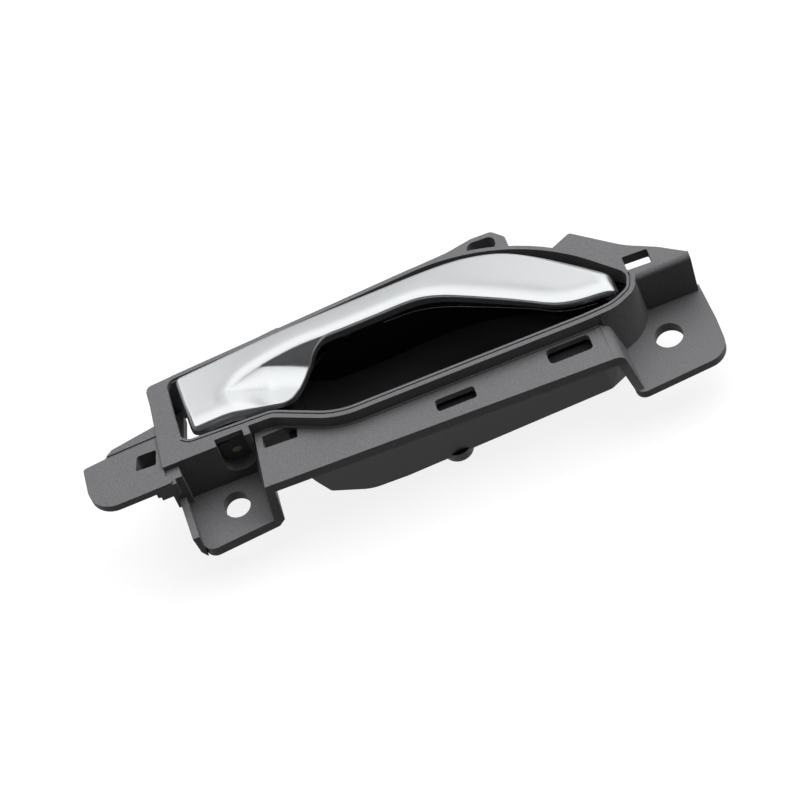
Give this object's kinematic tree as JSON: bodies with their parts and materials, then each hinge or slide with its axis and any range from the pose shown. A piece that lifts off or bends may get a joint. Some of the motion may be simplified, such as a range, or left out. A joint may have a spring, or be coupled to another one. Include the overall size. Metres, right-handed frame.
{
  "type": "car_interior_door_handle",
  "caption": "Inside door handle of a car: satin metal pull lever hinged in a black recessed cup, on a charcoal moulded carrier with screw tabs",
  "frame": {"origin": "centre of the round screw hole on the front face of its tab", "axes": "+X along the handle from the pivot to the lever's tip, +Y across the handle away from the screw tabs, +Z out of the trim face towards the hand"},
  "size_m": [0.1967, 0.0679, 0.0376],
  "materials": {
    "moulded_trim": "fine grained charcoal moulding",
    "cup_plastic": "smooth black moulding with a soft sheen",
    "satin_metal": "satin chrome on a moulded shell",
    "black_core": "glass filled black moulding",
    "black_gloss": "smooth black moulding",
    "zinc_pin": "yellow passivated zinc on steel",
    "spring_steel": "drawn spring wire",
    "screw_steel": "zinc plated screw",
    "bearing_plastic": "natural acetal",
    "stop_rubber": "black rubber"
  },
  "bodies": {
    "carrier": {"carrier": "moulded_trim", "cup_liner": "cup_plastic", "pivot_pin": "zinc_pin", "pin_clip": "spring_steel", "thrust_washer": "spring_steel", "return_spring": "spring_steel", "bumper_closed": "stop_rubber", "bumper_open": "stop_rubber", "liner_screw_1": "screw_steel", "liner_screw_2": "screw_steel", "liner_screw_3": "screw_steel", "liner_screw_4": "screw_steel"},
    "lever": {"lever_shell": "satin_metal", "lever_core": "black_core", "grip_cover": "black_gloss", "bush_lower": "bearing_plastic", "bush_upper": "bearing_plastic", "cable_keeper": "bearing_plastic", "lever_screw_1": "screw_steel", "lever_screw_2": "screw_steel", "lever_screw_3": "screw_steel"}
  },
  "joints": [
    {"name": "lever_pivot", "type": "hinge", "parent": "carrier", "child": "lever", "pos_m": [-0.135, 0.0293, 0.007], "axis": [0, -1, 0], "range_deg": [0, 38], "stiffness_Nm_per_rad": 0.35, "springref_deg": -20.05, "deforming": ["return_spring"]}
  ]
}
